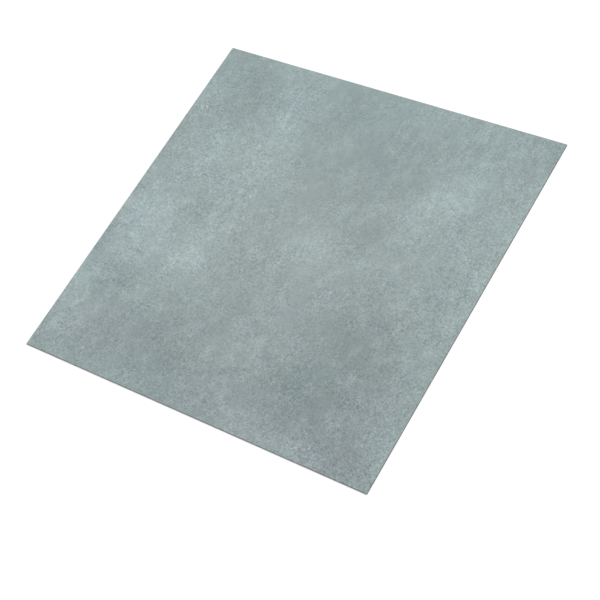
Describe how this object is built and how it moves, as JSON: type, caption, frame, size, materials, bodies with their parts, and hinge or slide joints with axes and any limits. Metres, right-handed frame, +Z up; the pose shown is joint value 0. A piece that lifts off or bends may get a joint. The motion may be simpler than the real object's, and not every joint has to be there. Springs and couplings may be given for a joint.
{
  "type": "vinyl floor tile",
  "caption": "Thin square vinyl floor tile with a cloudy blue-grey concrete print, plain-cut edges and a flat back for gluing down.",
  "frame": {"origin": "centre of the back face, which lies on the floor", "axes": "+Z up, out of the printed wear face; X and Y run square to the sides"},
  "size_m": [0.4572, 0.4572, 0.002],
  "materials": {
    "printed_vinyl": "matte"
  },
  "bodies": {
    "root": {"vinyl_tile": "printed_vinyl"}
  },
  "joints": []
}
